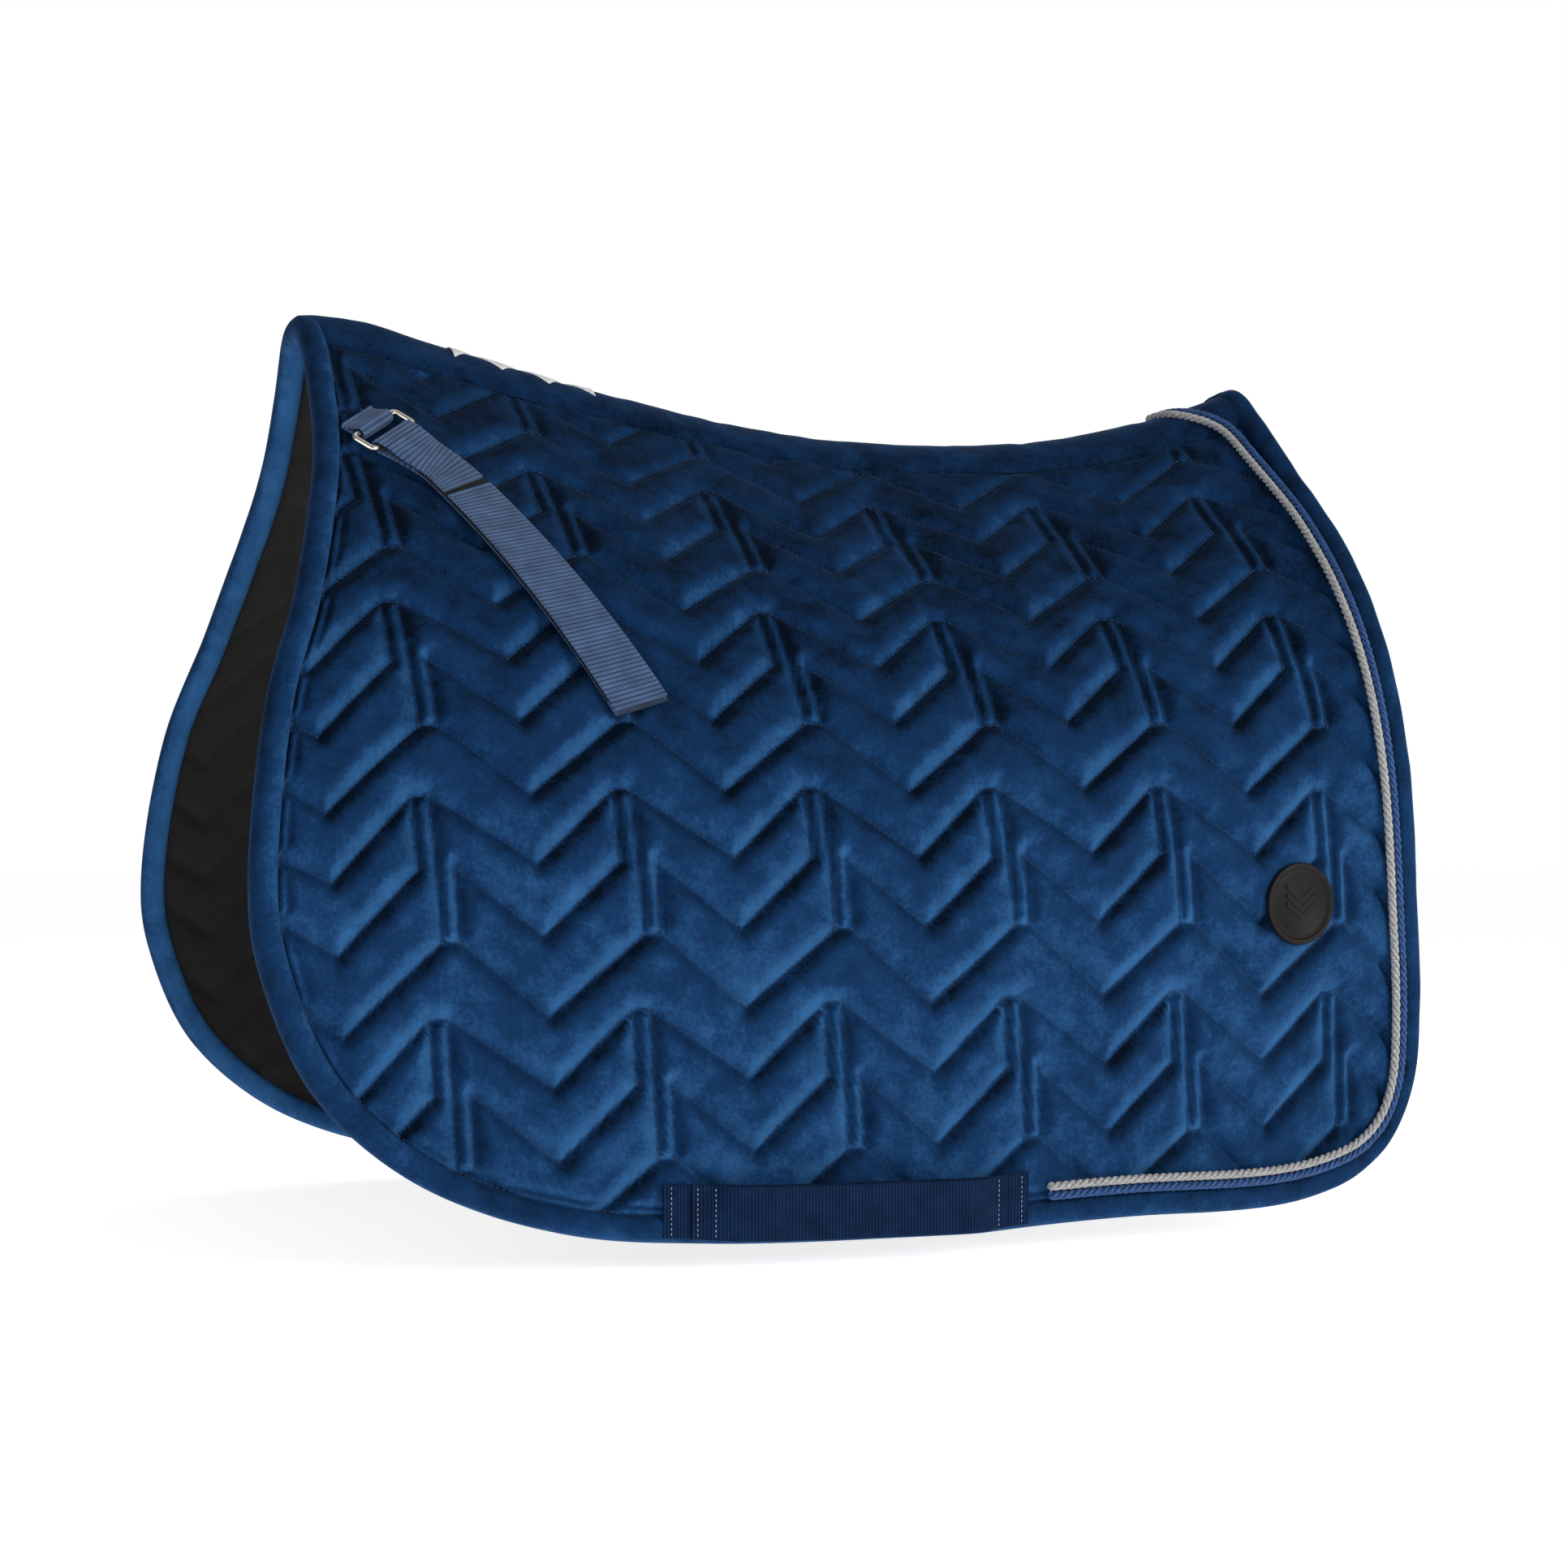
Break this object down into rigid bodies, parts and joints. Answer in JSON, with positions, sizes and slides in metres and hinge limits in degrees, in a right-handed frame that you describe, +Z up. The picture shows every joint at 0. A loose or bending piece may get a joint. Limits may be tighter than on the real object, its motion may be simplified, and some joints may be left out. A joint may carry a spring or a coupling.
{
  "type": "saddle pad",
  "caption": "Quilted velvet saddle pad draped as on a horse, with edge binding, twisted cord trim, billet straps on rings, girth keepers and round badges.",
  "frame": {"origin": "where the horse's back carries the pad: the underside of the spine at the lowest point of its top line", "axes": "+X runs to the horse's tail, -Y is the near (left) side, +Z is up"},
  "size_m": [0.7363, 0.5656, 0.5516],
  "materials": {
    "velvet": "crushed cotton velvet, royal blue",
    "wadding": "bonded polyester wadding",
    "lining": "quilted black lining",
    "silver_cord": "twisted silver-grey cord",
    "blue_cord": "twisted royal blue cord",
    "keeper_webbing": "woven navy webbing",
    "strap_webbing": "ribbed slate-blue webbing",
    "hook_tape": "black hook tape",
    "badge_rubber": "matt moulded rubber",
    "nickel": "nickel-plated wire",
    "embroidery": "satin-stitch thread"
  },
  "bodies": {
    "root": {"near_binding_front": "velvet", "near_binding_rear": "velvet", "near_blue_cord_upper": "blue_cord", "near_lining_upper": "lining", "near_silver_cord_upper": "silver_cord", "near_strap_anchor": "strap_webbing", "near_velvet_upper": "velvet", "near_wadding_upper": "wadding", "off_binding_front": "velvet", "off_binding_rear": "velvet", "off_blue_cord_upper": "blue_cord", "off_lining_upper": "lining", "off_silver_cord_upper": "silver_cord", "off_strap_anchor": "strap_webbing", "off_velvet_upper": "velvet", "off_wadding_upper": "wadding", "spine_band": "velvet", "spine_motif": "embroidery", "spine_tape": "lining"},
    "near_flap": {"near_badge": "badge_rubber", "near_binding_lower": "velvet", "near_blue_cord_lower": "blue_cord", "near_keeper_base": "keeper_webbing", "near_keeper_tunnel": "keeper_webbing", "near_lining_lower": "lining", "near_silver_cord_lower": "silver_cord", "near_velvet_lower": "velvet", "near_wadding_lower": "wadding"},
    "near_ring": {"near_strap_ring": "nickel"},
    "near_strap": {"near_strap_base": "strap_webbing", "near_strap_hook_tape": "hook_tape"},
    "near_tail": {"near_strap_tail": "strap_webbing"},
    "near_strap_top": {"near_strap_top": "strap_webbing"},
    "off_flap": {"off_badge": "badge_rubber", "off_binding_lower": "velvet", "off_blue_cord_lower": "blue_cord", "off_keeper_base": "keeper_webbing", "off_keeper_tunnel": "keeper_webbing", "off_lining_lower": "lining", "off_silver_cord_lower": "silver_cord", "off_velvet_lower": "velvet", "off_wadding_lower": "wadding"},
    "off_ring": {"off_strap_ring": "nickel"},
    "off_strap": {"off_strap_base": "strap_webbing", "off_strap_hook_tape": "hook_tape"},
    "off_tail": {"off_strap_tail": "strap_webbing"},
    "off_strap_top": {"off_strap_top": "strap_webbing"}
  },
  "joints": [
    {"name": "near_flap_lift", "type": "hinge", "parent": "root", "child": "near_flap", "pos_m": [0, -0.26094, -0.235], "axis": [-1, 0, 0], "range_deg": [0, 60], "stiffness_Nm_per_rad": 0.35, "springref_deg": -20.05},
    {"name": "near_ring_swing", "type": "hinge", "parent": "root", "child": "near_ring", "pos_m": [-0.32819, -0.10758, 0.00031], "axis": [-0.6789, -0.5616, -0.473], "range_deg": [0, 45]},
    {"name": "near_strap_swing", "type": "hinge", "parent": "near_ring", "child": "near_strap", "pos_m": [-0.31737, -0.11398, -0.00731], "axis": [-0.6789, -0.5616, -0.473], "range_deg": [0, 60]},
    {"name": "near_tail_peel", "type": "hinge", "parent": "near_strap", "child": "near_tail", "pos_m": [-0.31256, -0.11867, -0.00716], "axis": [-0.6779, -0.5622, -0.4737], "range_deg": [0, 60]},
    {"name": "near_strap_top_peel", "type": "hinge", "parent": "near_strap", "child": "near_strap_top", "pos_m": [-0.20141, -0.24101, -0.16862], "axis": [0.9421, 0.1757, 0.2856], "range_deg": [0, 140]},
    {"name": "off_flap_lift", "type": "hinge", "parent": "root", "child": "off_flap", "pos_m": [0, 0.26094, -0.235], "axis": [1, 0, 0], "range_deg": [0, 60], "stiffness_Nm_per_rad": 0.35, "springref_deg": -20.05},
    {"name": "off_ring_swing", "type": "hinge", "parent": "root", "child": "off_ring", "pos_m": [-0.32819, 0.10758, 0.00031], "axis": [0.6789, -0.5616, 0.473], "range_deg": [0, 45]},
    {"name": "off_strap_swing", "type": "hinge", "parent": "off_ring", "child": "off_strap", "pos_m": [-0.31737, 0.11398, -0.00731], "axis": [0.6789, -0.5616, 0.473], "range_deg": [0, 60]},
    {"name": "off_tail_peel", "type": "hinge", "parent": "off_strap", "child": "off_tail", "pos_m": [-0.31256, 0.11867, -0.00716], "axis": [0.6779, -0.5622, 0.4737], "range_deg": [0, 60]},
    {"name": "off_strap_top_peel", "type": "hinge", "parent": "off_strap", "child": "off_strap_top", "pos_m": [-0.20141, 0.24101, -0.16862], "axis": [-0.9421, 0.1757, -0.2856], "range_deg": [0, 140]}
  ]
}
